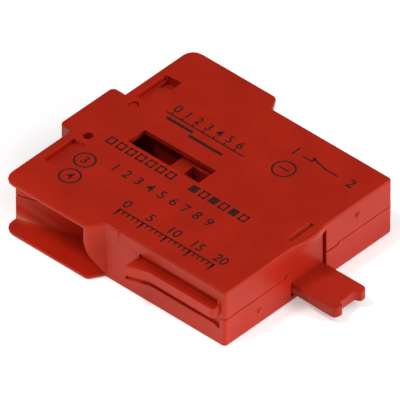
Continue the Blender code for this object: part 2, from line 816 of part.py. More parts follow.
def make_rail(name, side, material):
    """The bent strip from a terminal, round the bridge's end, to its fixed contact."""
    leg_x = (LEG_REAR_X + LEG_FRONT_X) / 2
    contact_x = CONTACT_LEG_X + RAIL_THICKNESS / 2
    jog_x = CHAMFER_X + RAIL_THICKNESS / 2
    outer = SCREW_Y + CAGE_WIDTH / 2 + LOOSE
    path = [
        (leg_x, outer),
        (leg_x, RAIL_INNER_Y),
        (jog_x, RAIL_INNER_Y),
        (jog_x, RAIL_OUTER_Y),
        (contact_x, RAIL_OUTER_Y),
        (contact_x, RAIL_OUTER_Y - CONTACT_LEG_LENGTH),
    ]
    outline = strip_outline([(x, side * y) for x, y in path], RAIL_THICKNESS, RAIL_BEND)
    return finish(plate(name, outline, RAIL_LOW_Z, RAIL_HIGH_Z), material)


def make_cage(name, side, material):
    """A square tube that the screw draws back, so that it pinches a wire against the rail's leg."""
    y = side * SCREW_Y
    half = CAGE_WIDTH / 2
    cage = block(
        name,
        (CAGE_REAR_X, y - half, CAGE_LOW_Z),
        (CAGE_FRONT_X, y + half, CAGE_HIGH_Z),
    )
    hollow = block(
        f"{name}_hollow",
        (CAGE_INNER_REAR_X, y - half - OVERLAP, CAGE_LOW_Z + CAGE_SIDE_WALL),
        (CAGE_INNER_FRONT_X, y + half + OVERLAP, CAGE_HIGH_Z - CAGE_SIDE_WALL),
    )
    thread = rod(
        f"{name}_thread",
        (CAGE_REAR_X - OVERLAP, y, MID_Z),
        (CAGE_INNER_REAR_X + OVERLAP, y, MID_Z),
        SCREW_DIAMETER / 2 + FIT,
        SMALL_SIDES,
    )
    cut(cage, keep_tool(hollow))
    cut(cage, keep_tool(thread))
    return finish(cage, material, (CAGE_REAR_X, y, MID_Z))


def make_screw(name, side, material):
    y = side * SCREW_Y
    length = SCREW_TIP_X - SCREW_TOP_X
    head = HEAD_DIAMETER / 2
    shank = SCREW_DIAMETER / 2
    profile = [
        (0.0, length),
        (head - SCREW_CHAMFER, length),
        (head, length - SCREW_CHAMFER),
        (head, length - HEAD_HEIGHT),
        (shank, length - HEAD_HEIGHT),
        (shank, SCREW_CHAMFER),
        (shank - SCREW_CHAMFER, 0.0),
        (0.0, 0.0),
    ]
    place = Vector((SCREW_TIP_X, y, MID_Z))
    screw = turned(name, profile, Matrix.Translation(place) @ Matrix.Rotation(-math.pi / 2, 4, "Y"))
    slot_x = (SCREW_TOP_X - OVERLAP, SCREW_TOP_X + SLOT_DEPTH)
    wide = HEAD_DIAMETER / 2 + OVERLAP
    short = CROSS_LENGTH / 2
    thin = SLOT_WIDTH / 2
    for label, across, up in (("slot", wide, thin), ("cross", thin, short)):
        tool = block(
            f"{name}_{label}",
            (slot_x[0], y - across, MID_Z - up),
            (slot_x[1], y + across, MID_Z + up),
        )
        cut(screw, keep_tool(tool))
    return finish(screw, material, place)


def make_pin(name, side, material):
    """A housing pin, sunk deeper at one end than at the other; its twin is turned end for end."""
    low = PIN_SUNK_SHALLOW if side < 0 else PIN_SUNK_DEEP
    high = BODY_THICKNESS - (PIN_SUNK_DEEP if side < 0 else PIN_SUNK_SHALLOW)
    place = (REAR_X + PIN_SETBACK, side * PIN_Y)
    pin = rod(name, (*place, low), (*place, high), PIN_DIAMETER / 2, SMALL_SIDES)
    return finish(pin, material, (*place, MID_Z))


def least_gap(points, wire):
    """Least clear space between turns, measured on the coil's own points."""
    skip = POINTS_PER_TURN // 2
    least = min(
        (first - second).length
        for index, first in enumerate(points)
        for second in points[index + skip + 1 :]
    )
    return least - wire


def make_spring(name, rear_x, front_x, diameter, wire, turns, material):
    """One unbroken helix about the plunger's axis, from its rear seat to its front seat."""
    length = front_x - rear_x
    radius = (diameter - wire) / 2
    count = round(turns * POINTS_PER_TURN)
    points = []
    for step in range(count + 1):
        angle = 2 * math.pi * turns * step / count
        along = wire / 2 + (length - wire) * step / count
        points.append(Vector((along, radius * math.cos(angle), radius * math.sin(angle))))
    print(f"{name}: least gap {least_gap(points, wire) / MM:.2f} mm")
    curve = bpy.data.curves.new(name, "CURVE")
    curve.dimensions = "3D"
    curve.bevel_depth = wire / 2
    curve.bevel_resolution = 1
    curve.use_fill_caps = True
    spline = curve.splines.new("POLY")
    spline.points.add(count)
    for target, point in zip(spline.points, points):
        target.co = (*point, 1.0)
    spring = bpy.data.objects.new(name, curve)
    spring.location = (rear_x, 0.0, PLUNGER_MID_Z)
    curve.materials.append(material)
    parts.objects.link(spring)
    return spring


def parent_to(empty_name, place, children):
    """An empty on a joint's axis that carries the pieces moving along it."""
    empty = bpy.data.objects.new(empty_name, None)
    empty.empty_display_size = TONGUE_REACH / 2
    empty.location = place
    parts.objects.link(empty)
    bpy.context.view_layer.update()
    for child in children:
        child.parent = empty
        child.matrix_parent_inverse = empty.matrix_world.inverted()


clear_scene()
parts = make_collection("emergency_stop_contact_block")
cutters = make_collection("cutters")

red_polyamide = make_material("red_polyamide", (0.42, 0.022, 0.012), 0.45)
plunger_polyamide = make_material("plunger_polyamide", (0.36, 0.016, 0.012), 0.45)
brass = make_material("brass", (0.72, 0.50, 0.20), 0.35, 1.0)
silver = make_material("silver", (0.86, 0.85, 0.82), 0.25, 1.0)
zinc_steel = make_material("zinc_plated_steel", (0.66, 0.67, 0.68), 0.35, 1.0)
spring_steel = make_material("spring_steel", (0.55, 0.56, 0.58), 0.3, 1.0)

hollows = [*common_cutters(), parting_groove()]
make_shell("lower_shell", 0.0, MID_Z, True, hollows, red_polyamide)
make_shell("upper_shell", MID_Z, BODY_THICKNESS, False, hollows, red_polyamide)

plunger = make_plunger(plunger_polyamide)
bridge = make_bridge(brass)
contact_spring = make_spring(
    "contact_spring",
    STEM_FRONT_X + FIT,
    BRIDGE_REAR_X - FIT,
    CONTACT_SPRING_DIAMETER,
    CONTACT_SPRING_WIRE,
    CONTACT_SPRING_TURNS,
    spring_steel,
)
make_spring(
    "return_spring",
    SPRING_SEAT_X + FIT,
    STEM_REAR_X - FIT,
    RETURN_SPRING_DIAMETER,
    RETURN_SPRING_WIRE,
    RETURN_SPRING_TURNS,
    spring_steel,
)

bridge_tips = []
for side_name, side_sign in SIDES:
    bridge_tips.append(make_tip(f"bridge_tip_{side_name}", BRIDGE_FRONT_X, side_sign, 1, silver))
    make_tip(f"fixed_tip_{side_name}", CONTACT_LEG_X, side_sign, -1, silver)
    make_rail(f"terminal_rail_{side_name}", side_sign, brass)
    make_cage(f"clamp_cage_{side_name}", side_sign, zinc_steel)
    make_screw(f"terminal_screw_{side_name}", side_sign, zinc_steel)
    make_pin(f"housing_pin_{side_name}", side_sign, red_polyamide)

parent_to("plunger_slide", (FACE_X, 0.0, PLUNGER_MID_Z), [plunger, contact_spring])
parent_to("bridge_slide", (BRIDGE_REAR_X, 0.0, PLUNGER_MID_Z), [bridge, *bridge_tips])
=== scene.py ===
import math
import bmesh
import bpy
from mathutils import Matrix, Vector


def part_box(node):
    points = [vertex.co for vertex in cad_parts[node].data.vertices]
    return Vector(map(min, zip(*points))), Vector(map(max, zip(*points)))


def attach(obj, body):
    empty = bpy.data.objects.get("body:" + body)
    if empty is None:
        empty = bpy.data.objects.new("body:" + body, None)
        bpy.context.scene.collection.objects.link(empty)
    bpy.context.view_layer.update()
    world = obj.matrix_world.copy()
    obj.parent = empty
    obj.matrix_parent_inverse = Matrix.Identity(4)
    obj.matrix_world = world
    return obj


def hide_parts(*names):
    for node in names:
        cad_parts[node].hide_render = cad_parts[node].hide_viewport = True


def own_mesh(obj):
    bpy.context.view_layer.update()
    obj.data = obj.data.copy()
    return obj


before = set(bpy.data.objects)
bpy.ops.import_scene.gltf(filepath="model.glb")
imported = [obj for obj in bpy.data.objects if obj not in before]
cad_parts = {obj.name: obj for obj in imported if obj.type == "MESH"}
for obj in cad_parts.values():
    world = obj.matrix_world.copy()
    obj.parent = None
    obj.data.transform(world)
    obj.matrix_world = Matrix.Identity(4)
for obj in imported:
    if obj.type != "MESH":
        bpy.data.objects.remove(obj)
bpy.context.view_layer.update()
mm = 0.001
scene = bpy.context.scene
scene.view_settings.view_transform = "Standard"
print("frame loaded:", len(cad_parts), "nodes")


def linear(hexText):
    channels = [int(hexText[at:at + 2], 16) / 255 for at in (0, 2, 4)]
    spread = [c / 12.92 if c <= 0.04045 else ((c + 0.055) / 1.055) ** 2.4 for c in channels]
    return (*spread, 1.0)


def addNode(tree, kind, inputs=None, **settings):
    node = tree.nodes.new(kind)
    for name, value in settings.items():
        setattr(node, name, value)
    for key, value in (inputs or {}).items():
        if isinstance(value, bpy.types.NodeSocket):
            tree.links.new(value, node.inputs[key])
        else:
            node.inputs[key].default_value = value
    return node


def newMaterial(name):
    material = bpy.data.materials.new(name)
    material.use_nodes = True
    tree = material.node_tree
    return material, tree, tree.nodes["Principled BSDF"]


# camera: the photo's angle, far off with a long lens, framed for a 400 x 400 image
view = {
    "azimuth": 42.76,
    "elevation": 39.53,
    "distance": 2562 * mm,
    "pixelsPerMm": 6.894,
    "aimPoint": (0.85 * mm, 0, 5 * mm),
    "aimPixel": (207.27, 203.02),
    "imagePixels": 400,
    "sensorMm": 36,
}


def placeCamera():
    turn = math.radians(view["azimuth"])
    tilt = math.radians(view["elevation"])
    right = Vector((math.cos(turn), math.sin(turn), 0))
    back = Vector((math.sin(turn) * math.cos(tilt), -math.cos(turn) * math.cos(tilt), math.sin(tilt)))
    up = back.cross(right)
    middle = view["imagePixels"] / 2
    perPixel = mm / view["pixelsPerMm"]
    aim = Vector(view["aimPoint"])
    aim += right * (middle - view["aimPixel"][0]) * perPixel
    aim += up * (view["aimPixel"][1] - middle) * perPixel
    lens = bpy.data.cameras.new("camera")
    lens.sensor_width = view["sensorMm"]
    lens.lens = view["pixelsPerMm"] / mm * view["distance"] / view["imagePixels"] * view["sensorMm"]
    camera = bpy.data.objects.new("camera", lens)
    axes = Matrix((right, up, back)).transposed().to_4x4()
    camera.matrix_world = Matrix.Translation(aim + back * view["distance"]) @ axes
    scene.collection.objects.link(camera)
    scene.camera = camera


placeCamera()
print("camera placed")

# studio: white paper in a pale tent, a small key lamp high on the near left, a softbox before
# the front, a low fill, and two strip lamps turned to the paper, which throws their light up
studio = {
    "floorHalf": 1.5,
    "floorDrop": 0.05 * mm,
    "floorColour": "F4F4F4",
    "floorRoughness": 0.9,
    "floorGlow": 0.32,
    "tentColour": "FFFFFF",
    "tentLevel": 0.14,
}
# place, aim and size in mm, power in W; the fill has no sheen, so that the wide face doesn't mirror it
lamps = {
    "keyLamp": {"place": (-149, -268, 634), "aim": (0, 0, 5), "size": (150, 150), "power": 2.0},
    "frontSoftbox": {"place": (452, 260, 473), "aim": (0, 0, 5), "size": (500, 500), "power": 2.8},
    "frontFill": {"place": (693, 0, 102), "aim": (0, 0, 5), "size": (600, 160), "power": 2.0,
                  "sheen": False},
    "nearPaperStrip": {"place": (0, -50, 28), "aim": (0, -64, 0), "size": (160, 50), "power": 0.039},
    "frontPaperStrip": {"place": (65, 0, 28), "aim": (79, 0, 0), "size": (50, 120), "power": 0.003},
}


def buildFloor():
    half = studio["floorHalf"]
    low = -studio["floorDrop"]
    mesh = bpy.data.meshes.new("floor")
    corners = [(-half, -half, low), (half, -half, low), (half, half, low), (-half, half, low)]
    mesh.from_pydata(corners, [], [(0, 1, 2, 3)])
    floor = bpy.data.objects.new("floor", mesh)
    scene.collection.objects.link(floor)
    material, tree, shader = newMaterial("white_paper_sweep")
    shader.inputs["Base Color"].default_value = linear(studio["floorColour"])
    shader.inputs["Roughness"].default_value = studio["floorRoughness"]
    shader.inputs["Emission Color"].default_value = linear(studio["tentColour"])
    # what the camera sees, straight or mirrored, is lifted to white; the shadow stays
    path = addNode(tree, "ShaderNodeLightPath").outputs
    seen = addNode(tree, "ShaderNodeMath", {0: path["Is Camera Ray"], 1: path["Is Glossy Ray"]},
                   operation="ADD")
    seen = addNode(tree, "ShaderNodeMath", {0: seen.outputs[0], 1: path["Is Transmission Ray"]},
                   operation="ADD", use_clamp=True)
    glow = addNode(tree, "ShaderNodeMath", {0: seen.outputs[0], 1: studio["floorGlow"]},
                   operation="MULTIPLY")
    tree.links.new(glow.outputs[0], shader.inputs["Emission Strength"])
    mesh.materials.append(material)


def buildWorld():
    world = bpy.data.worlds.new("studio")
    scene.world = world
    world.use_nodes = True
    background = world.node_tree.nodes["Background"]
    background.inputs["Color"].default_value = linear(studio["tentColour"])
    background.inputs["Strength"].default_value = studio["tentLevel"]


def hangLamps():
    for name, lamp in lamps.items():
        light = bpy.data.lights.new(name, "AREA")
        light.shape = "RECTANGLE"
        light.size = lamp["size"][0] * mm
        light.size_y = lamp["size"][1] * mm
        light.energy = lamp["power"]
        holder = bpy.data.objects.new(name, light)
        holder.visible_glossy = lamp.get("sheen", True)
        place = Vector(lamp["place"]) * mm
        facing = (place - Vector(lamp["aim"]) * mm).to_track_quat("Z", "Y")
        holder.matrix_world = Matrix.Translation(place) @ facing.to_matrix().to_4x4()
        scene.collection.objects.link(holder)


buildFloor()
buildWorld()
hangLamps()
print("studio built")

# polyamide 6, dyed red, injection moulded in a fine spark-eroded tool:
# satin red with a faint grain, slightly cloudy in the mass
housingRed = {
    "name": "moulded_polyamide_red",
    "deep": "A81E0E",
    "light": "B42412",
    "cloudMm": 6.0,
    "cloudDetail": 3.0,
    "cloudRange": (0.3, 0.7),
    "grainMm": 0.22,  # the real grain is nearer 0.05 mm, drawn coarser so that it shows
    "grainDetail": 2.0,
    "grainDepthMm": 0.006,
    "grainStrength": 0.5,
    "roughness": (0.30, 0.40),
    "gloss": 0.24,
    "glossTint": "FFEFC8",
    "seed": (0.0, 0.0, 0.0),
}
plungerRed = {
    **housingRed,
    "name": "moulded_polyamide_red_plunger",
    "deep": "9E1B0D",
    "light": "AC2210",
    "seed": (7.0, 3.0, 1.0),
}


def mouldedPolyamide(look):
    material, tree, shader = newMaterial(look["name"])
    place = addNode(tree, "ShaderNodeTexCoord").outputs["Object"]
    shift = Vector(look["seed"]) * mm
    place = addNode(tree, "ShaderNodeMapping", {"Vector": place, "Location": shift}).outputs["Vector"]
    cloud = addNode(tree, "ShaderNodeTexNoise", {
        "Vector": place, "Scale": 1 / (look["cloudMm"] * mm), "Detail": look["cloudDetail"]})
    grain = addNode(tree, "ShaderNodeTexNoise", {
        "Vector": place, "Scale": 1 / (look["grainMm"] * mm), "Detail": look["grainDetail"]})
    colour = addNode(tree, "ShaderNodeValToRGB", {"Fac": cloud.outputs["Fac"]})
    tones = (look["deep"], look["light"])
    for stop, at, tone in zip(colour.color_ramp.elements, look["cloudRange"], tones):
        stop.position = at
        stop.color = linear(tone)
    rough = addNode(tree, "ShaderNodeMapRange", {
        "Value": grain.outputs["Fac"], "To Min": look["roughness"][0], "To Max": look["roughness"][1]})
    bump = addNode(tree, "ShaderNodeBump", {
        "Height": grain.outputs["Fac"], "Strength": look["grainStrength"],
        "Distance": look["grainDepthMm"] * mm})
    shader.inputs["Specular IOR Level"].default_value = look["gloss"]
    shader.inputs["Specular Tint"].default_value = linear(look["glossTint"])
    tree.links.new(colour.outputs["Color"], shader.inputs["Base Color"])
    tree.links.new(rough.outputs[0], shader.inputs["Roughness"])
    tree.links.new(bump.outputs["Normal"], shader.inputs["Normal"])
    return material


# pad-printing ink: a thin dark brown-grey film, a little patchy where the plastic shows through
ink = {
    "solid": "2A1A16",
    "thin": "561E14",
    "patchMm": 0.5,
    "patchDetail": 3.0,
    "patchRange": (0.45, 0.75),
    "roughness": (0.45, 0.62),
    "gloss": 0.2,
}


def padPrintInk():
    material, tree, shader = newMaterial("pad_print_ink")
    place = addNode(tree, "ShaderNodeTexCoord").outputs["Object"]
    patch = addNode(tree, "ShaderNodeTexNoise", {
        "Vector": place, "Scale": 1 / (ink["patchMm"] * mm), "Detail": ink["patchDetail"]})
    colour = addNode(tree, "ShaderNodeValToRGB", {"Fac": patch.outputs["Fac"]})
    tones = (ink["solid"], ink["thin"])
    for stop, at, tone in zip(colour.color_ramp.elements, ink["patchRange"], tones):
        stop.position = at
        stop.color = linear(tone)
    rough = addNode(tree, "ShaderNodeMapRange", {
        "Value": patch.outputs["Fac"], "To Min": ink["roughness"][0], "To Max": ink["roughness"][1]})
    shader.inputs["Specular IOR Level"].default_value = ink["gloss"]
    tree.links.new(colour.outputs["Color"], shader.inputs["Base Color"])
    tree.links.new(rough.outputs[0], shader.inputs["Roughness"])
    return material


# metals of the terminals; lines run along X, the way the strip was rolled or the wire drawn
metals = {
    # rolled brass strip: warm yellow with fine rolling lines and a faint tarnish
    "brass": {"name": "rolled_brass", "deep": "B08D4A", "light": "D2B26B", "lineMm": 0.12,
              "stretch": 14.0, "patchMm": 2.0, "roughness": (0.24, 0.42), "bumpMm": 0.003},
    # silver contact alloy, cold headed: bright white metal, softly matt
    "silver": {"name": "headed_silver_alloy", "deep": "C9C6BE", "light": "EDEBE6", "lineMm": 0.10,
               "stretch": 1.0, "patchMm": 0.8, "roughness": (0.22, 0.36), "bumpMm": 0.002},
    # steel, electroplated with zinc and clear passivated: cool grey with a faint bluish bloom
    "zinc_steel": {"name": "zinc_plated_steel", "deep": "9EA4AA", "light": "C8CCCE", "lineMm": 0.15,
                   "stretch": 1.6, "patchMm": 1.2, "roughness": (0.26, 0.44), "bumpMm": 0.003},
    # patented spring wire: grey, with long drawing lines
    "spring_steel": {"name": "drawn_spring_wire", "deep": "7E8083", "light": "B4B6B8", "lineMm": 0.08,
                     "stretch": 3.0, "patchMm": 0.9, "roughness": (0.25, 0.40), "bumpMm": 0.002},
}
metalMake = {
    "lineDetail": 3.0,
    "patchDetail": 4.0,
    "toneRange": (0.35, 0.65),
    "bumpStrength": 0.4,
}


def plainMetal(look):
    material, tree, shader = newMaterial(look["name"])
    place = addNode(tree, "ShaderNodeTexCoord").outputs["Object"]
    drawn = addNode(tree, "ShaderNodeMapping", {
        "Vector": place, "Scale": (1 / look["stretch"], 1.0, 1.0)})
    lines = addNode(tree, "ShaderNodeTexNoise", {
        "Vector": drawn.outputs["Vector"], "Scale": 1 / (look["lineMm"] * mm),
        "Detail": metalMake["lineDetail"]})
    patch = addNode(tree, "ShaderNodeTexNoise", {
        "Vector": place, "Scale": 1 / (look["patchMm"] * mm), "Detail": metalMake["patchDetail"]})
    both = addNode(tree, "ShaderNodeMath", {0: lines.outputs["Fac"], 1: patch.outputs["Fac"]},
                   operation="ADD")
    mean = addNode(tree, "ShaderNodeMath", {0: both.outputs[0], 1: 0.5}, operation="MULTIPLY")
    colour = addNode(tree, "ShaderNodeValToRGB", {"Fac": mean.outputs[0]})
    tones = (look["deep"], look["light"])
    for stop, at, tone in zip(colour.color_ramp.elements, metalMake["toneRange"], tones):
        stop.position = at
        stop.color = linear(tone)
    rough = addNode(tree, "ShaderNodeMapRange", {
        "Value": lines.outputs["Fac"], "To Min": look["roughness"][0], "To Max": look["roughness"][1]})
    bump = addNode(tree, "ShaderNodeBump", {
        "Height": lines.outputs["Fac"], "Strength": metalMake["bumpStrength"],
        "Distance": look["bumpMm"] * mm})
    shader.inputs["Metallic"].default_value = 1.0
    tree.links.new(colour.outputs["Color"], shader.inputs["Base Color"])
    tree.links.new(rough.outputs[0], shader.inputs["Roughness"])
    tree.links.new(bump.outputs["Normal"], shader.inputs["Normal"])
    return material


finishes = {
    "housing_polyamide": mouldedPolyamide(housingRed),
    "plunger_polyamide": mouldedPolyamide(plungerRed),
    **{slot: plainMetal(look) for slot, look in metals.items()},
}
inkFilm = padPrintInk()
print("materials made:", len(finishes) + 1)


def addPiece(name, mesh, body, material, nodes=()):
    mesh.materials.clear()
    mesh.materials.append(material)
    piece = bpy.data.objects.new(name, mesh)
    scene.collection.objects.link(piece)
    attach(piece, body)
    if nodes:
        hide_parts(*nodes)
    return piece


def evaluatedMesh(holder):
    graph = bpy.context.evaluated_depsgraph_get()
    return bpy.data.meshes.new_from_object(holder.evaluated_get(graph))


# edges of moulded and stamped pieces: every outer edge of a node's copy is rounded a little
edges = {
    "weld": 0.002 * mm,
    "flatAngle": 0.1,
    "sharpAngle": 30,
    "segments": 3,
    "flatWeight": 100,  # how far flat faces keep their own shading
}


def mergedCopy(nodeName):
    work = bmesh.new()
    work.from_mesh(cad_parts[nodeName].data)
    bmesh.ops.remove_doubles(work, verts=work.verts, dist=edges["weld"])
    return work


def roundEdges(work, name, width, edgeWidth=None):
    bmesh.ops.dissolve_limit(work, angle_limit=math.radians(edges["flatAngle"]),
                             verts=work.verts, edges=work.edges)
    weights = work.edges.layers.float.new("bevel_weight_edge")
    sharp = math.radians(edges["sharpAngle"])
    for face in work.faces:
        face.smooth = True
    for edge in work.edges:
        turn = edge.calc_face_angle_signed()
        if abs(turn) < sharp:
            continue
        wanted = edgeWidth(edge, turn > 0) if edgeWidth else width * (turn > 0)
        edge[weights] = wanted / width
        edge.smooth = wanted > 0
    mesh = bpy.data.meshes.new(name)
    work.to_mesh(mesh)
    work.free()
    return mesh


def finishEdges(piece, width):
    bevel = piece.modifiers.new("rounded_edges", "BEVEL")
    bevel.limit_method = "WEIGHT"
    bevel.width = width
    bevel.segments = edges["segments"]
    bevel.use_clamp_overlap = False
    bevel.loop_slide = False
    bevel.miter_outer = "MITER_ARC"
    flat = piece.modifiers.new("flat_faces", "WEIGHTED_NORMAL")
    flat.weight = edges["flatWeight"]
    flat.keep_sharp = True


# the two shells: widths of the rounded edges, and places that are set anew
shells = {
    "widest": 0.45 * mm,
    "gusset": 0.12 * mm,    # rim at the front end of each wire funnel
    "ramp": 0.45 * mm,      # front side of the slot behind the lip
    "outline": 0.3 * mm,    # round the wide faces
    "fine": 0.1 * mm,       # other outer edges
    "hole": 0.04 * mm,      # round the pin holes
    "parting": 0.06 * mm,   # along the hairline between the shells
    "gussetFoot": (-4.226 * mm, 20.167 * mm),
    "recessFront": 19.9 * mm,
    "slotRear": 19.34 * mm,
    "wallSide": 17.9 * mm,
    "printSink": 0.015 * mm,  # the print side lies lower, so that the print stays in the part's height
}
# where the shells' features lie in the solids, in mm; a run is along X, a side is out from the middle
places = {
    "near": 0.02,
    "hairline": 0.1,
    "hairlineLips": (0.05, 0.12),
    "tightRun": (-5.5, 20.2),
    "tightSide": 17.2,
    "meetRun": (-6.0, 0.0),
    "meetSide": 10.0,
    "gussetRun": (-5.1, -2.6),
    "gussetSide": 17.6,
    "gussetRise": 0.3,
    "footRun": (-4.3, -4.2),
    "footSide": 20.1,
    "pinHole": (-18.25, 4.9),
    "pinHoleReach": 1.0,
    "ribRear": 3.65,
    "ribSide": 17.8,
    "recessEnd": 20.15,
    "recessSide": 17.6,
    "recessFloor": 17.7,
    "recessStep": (1.9, 2.3),
    "wideFaceSkin": 0.05,
    "slotRear": 18.75,
    "slotFrontRun": (19.3, 19.6),
    "slotHalf": 2.6,
    "slotDepth": (8.0, 9.6),
    "outlineSide": 16.5,
    "outlineFront": 19.7,
    "outlineRear": -20.5,
    "tabSide": 7.0,
}
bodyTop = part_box("upper_shell")[1].z
partingZ = bodyTop / 2


def within(value, span):
    return span[0] < value < span[1]


def shellEdge(edge, convex):
    first, second = (vert.co / mm for vert in edge.verts)
    x, y, z = (first + second) / 2
    side = abs(y)
    top = bodyTop / mm
    fromMid = abs(z - top / 2)
    innerLip, outerLip = places["hairlineLips"]
    if not convex or fromMid < innerLip:
        return 0.0
    if abs(x - places["ribRear"]) < places["near"] and side > places["ribSide"]:
        return 0.0
    if fromMid < outerLip:
        tight = side > places["tightSide"] and within(x, places["tightRun"])
        return 0.0 if tight else shells["parting"]
    upright = abs(first.z - second.z) > places["gussetRise"]
    if upright and within(x, places["gussetRun"]) and side > places["gussetSide"]:
        return shells["gusset"]
    if math.hypot(x - places["pinHole"][0], side - places["pinHole"][1]) < places["pinHoleReach"]:
        return shells["hole"]
    if fromMid > top / 2 - places["wideFaceSkin"]:
        if within(x, places["slotFrontRun"]) and side < places["slotHalf"]:
            return shells["ramp"]
        besideTab = x < places["outlineRear"] and side > places["tabSide"]
        if side > places["outlineSide"] or x > places["outlineFront"] or besideTab:
            return shells["outline"]
    return shells["fine"]


def shapeShell(work):
    for vert in work.verts:
        x, y, z = vert.co / mm
        side = abs(y)
        fromMid = abs(z - partingZ / mm)
        onHairline = fromMid < places["hairline"]
        # the hairline runs out towards the funnels' front ends, where the shells meet tightly
        if onHairline and within(x, places["meetRun"]) and side > places["meetSide"]:
            vert.co.z = partingZ
        if onHairline and within(x, places["footRun"]) and side > places["footSide"]:
            vert.co.xy = shells["gussetFoot"][0], math.copysign(shells["gussetFoot"][1], y)
        # the recess over a latch rib ends at the rib
        if abs(x - places["recessEnd"]) < places["near"] and side > places["recessSide"]:
            vert.co.x = shells["recessFront"]
        # the slot behind the lip narrows downwards
        inSlot = side < places["slotHalf"] and within(z, places["slotDepth"])
        if inSlot and abs(x - places["slotRear"]) < places["near"]:
            vert.co.x = shells["slotRear"]
        # the wall over a latch rib leans, so that its step shows only near the wide face
        if abs(side - places["recessFloor"]) < places["near"] and within(fromMid, places["recessStep"]):
            vert.co.y = math.copysign(shells["wallSide"], y)
        vert.co.z = min(vert.co.z, bodyTop - shells["printSink"])
    bmesh.ops.remove_doubles(work, verts=work.verts, dist=edges["weld"])
    bmesh.ops.dissolve_degenerate(work, edges=work.edges, dist=edges["weld"])


# clearance round the near latch rib: pocket under it and channel over it, outline along X and Z
# and reach in Y, in mm; the far rib has the same, half a turn about the plunger's axis away
clearances = [
    {"shell": "lower_shell", "reach": (-18.3, -17.45),
     "outline": [(1.3, 1.85), (6.2, 3.34), (18.6, 3.34), (19.7, 2.95), (19.7, 4.6), (3.0, 4.6),
                 (1.3, 3.6)]},
    {"shell": "upper_shell", "reach": (-18.25, -17.5),
     "outline": [(4.0, 6.95), (19.3, 6.95), (19.3, 8.0), (4.0, 8.0)]},
]


def cutClearance(work, shape, turned):
    middle = partingZ / mm
    tool = bmesh.new()
    ends = []
    for y in shape["reach"]:
        corners = [(x, y * turned, middle + (z - middle) * turned) for x, z in shape["outline"]]
        ends.append([tool.verts.new(Vector(corner) * mm) for corner in corners])
        tool.faces.new(ends[-1])
    for at in range(len(ends[0])):
        tool.faces.new((ends[0][at - 1], ends[0][at], ends[1][at], ends[1][at - 1]))
    bmesh.ops.recalc_face_normals(tool, faces=tool.faces)
    holders = []
    for label, content in (("clearance_cutter", tool), ("uncut_shell", work)):
        mesh = bpy.data.meshes.new(label)
        content.to_mesh(mesh)
        holders.append(bpy.data.objects.new(label, mesh))
        scene.collection.objects.link(holders[-1])
    cut = holders[1].modifiers.new("clearance", "BOOLEAN")
    cut.operation = "DIFFERENCE"
    cut.solver = "EXACT"
    cut.object = holders[0]
    work.clear()
    work.from_mesh(evaluatedMesh(holders[1]))
    tool.free()
    for holder in holders:
        bpy.data.objects.remove(holder)


def buildShell(nodeName):
    work = mergedCopy(nodeName)
    shapeShell(work)
    for shape in clearances:
        cutClearance(work, shape, 1 if shape["shell"] == nodeName else -1)
    mesh = roundEdges(work, nodeName + "_moulded", shells["widest"], shellEdge)
    piece = addPiece(nodeName + "_moulded", mesh, "housing", finishes["housing_polyamide"],
                     [nodeName])
    finishEdges(piece, shells["widest"])


buildShell("upper_shell")
buildShell("lower_shell")
print("shells rounded")

# the other solid pieces: node, body, slot and edge rounding in mm
solids = [
    ("plunger", "plunger", "plunger_polyamide", 0.15),
    ("housing_pin_left", "housing", "housing_polyamide", 0.12),
    ("housing_pin_right", "housing", "housing_polyamide", 0.12),
    ("contact_bridge", "bridge", "brass", 0.12),
    ("bridge_tip_left", "bridge", "silver", 0.06),
    ("bridge_tip_right", "bridge", "silver", 0.06),
    ("terminal_rail_left", "housing", "brass", 0.1),
    ("terminal_rail_right", "housing", "brass", 0.1),
    ("fixed_tip_left", "housing", "silver", 0.06),
    ("fixed_tip_right", "housing", "silver", 0.06),
    ("clamp_cage_left", "clamp_left", "zinc_steel", 0.12),
    ("clamp_cage_right", "clamp_right", "zinc_steel", 0.12),
]


def buildSolids():
    for nodeName, body, slot, widthMm in solids:
        mesh = roundEdges(mergedCopy(nodeName), nodeName + "_finished", widthMm * mm)
        piece = addPiece(nodeName + "_finished", mesh, body, finishes[slot], [nodeName])
        finishEdges(piece, widthMm * mm)


buildSolids()
print("solid pieces rounded:", len(solids))


def newTree(name, inputs):
    tree = bpy.data.node_groups.new(name, "GeometryNodeTree")
    for label, kind in inputs.items():
        tree.interface.new_socket(label, in_out="INPUT", socket_type=kind)
    tree.interface.new_socket("Geometry", in_out="OUTPUT", socket_type="NodeSocketGeometry")
    return tree, addNode(tree, "NodeGroupInput").outputs


def endTree(tree, geometry, material):
    real = addNode(tree, "GeometryNodeRealizeInstances", {"Geometry": geometry})
    dressed = addNode(tree, "GeometryNodeSetMaterial", {
        "Geometry": real.outputs[0], "Material": material})
    addNode(tree, "NodeGroupOutput", {"Geometry": dressed.outputs[0]})


def runTree(tree, values):
    holder = bpy.data.objects.new(tree.name, bpy.data.meshes.new(tree.name))
    scene.collection.objects.link(holder)
    step = holder.modifiers.new(tree.name, "NODES")
    step.node_group = tree
    for item in tree.interface.items_tree:
        if item.in_out == "INPUT":
            step[item.identifier] = values[item.name]
    mesh = evaluatedMesh(holder)
    bpy.data.objects.remove(holder)
    return mesh


# compression springs: round wire, open coils between closed end coils
springs = {
    "return_spring": {"body": "housing", "wireMm": 0.5, "activeTurns": 9.0, "squashed": True},
    "contact_spring": {"body": "plunger", "wireMm": 0.45, "activeTurns": 4.5, "squashed": False},
}
springMake = {
    "closedTurns": 0.75,
    "closedPitch": 1.1,  # of the wire
    "pointsPerTurn": 40,
    "wireSides": 14,
    "plungerTravel": 4.0 * mm,
}


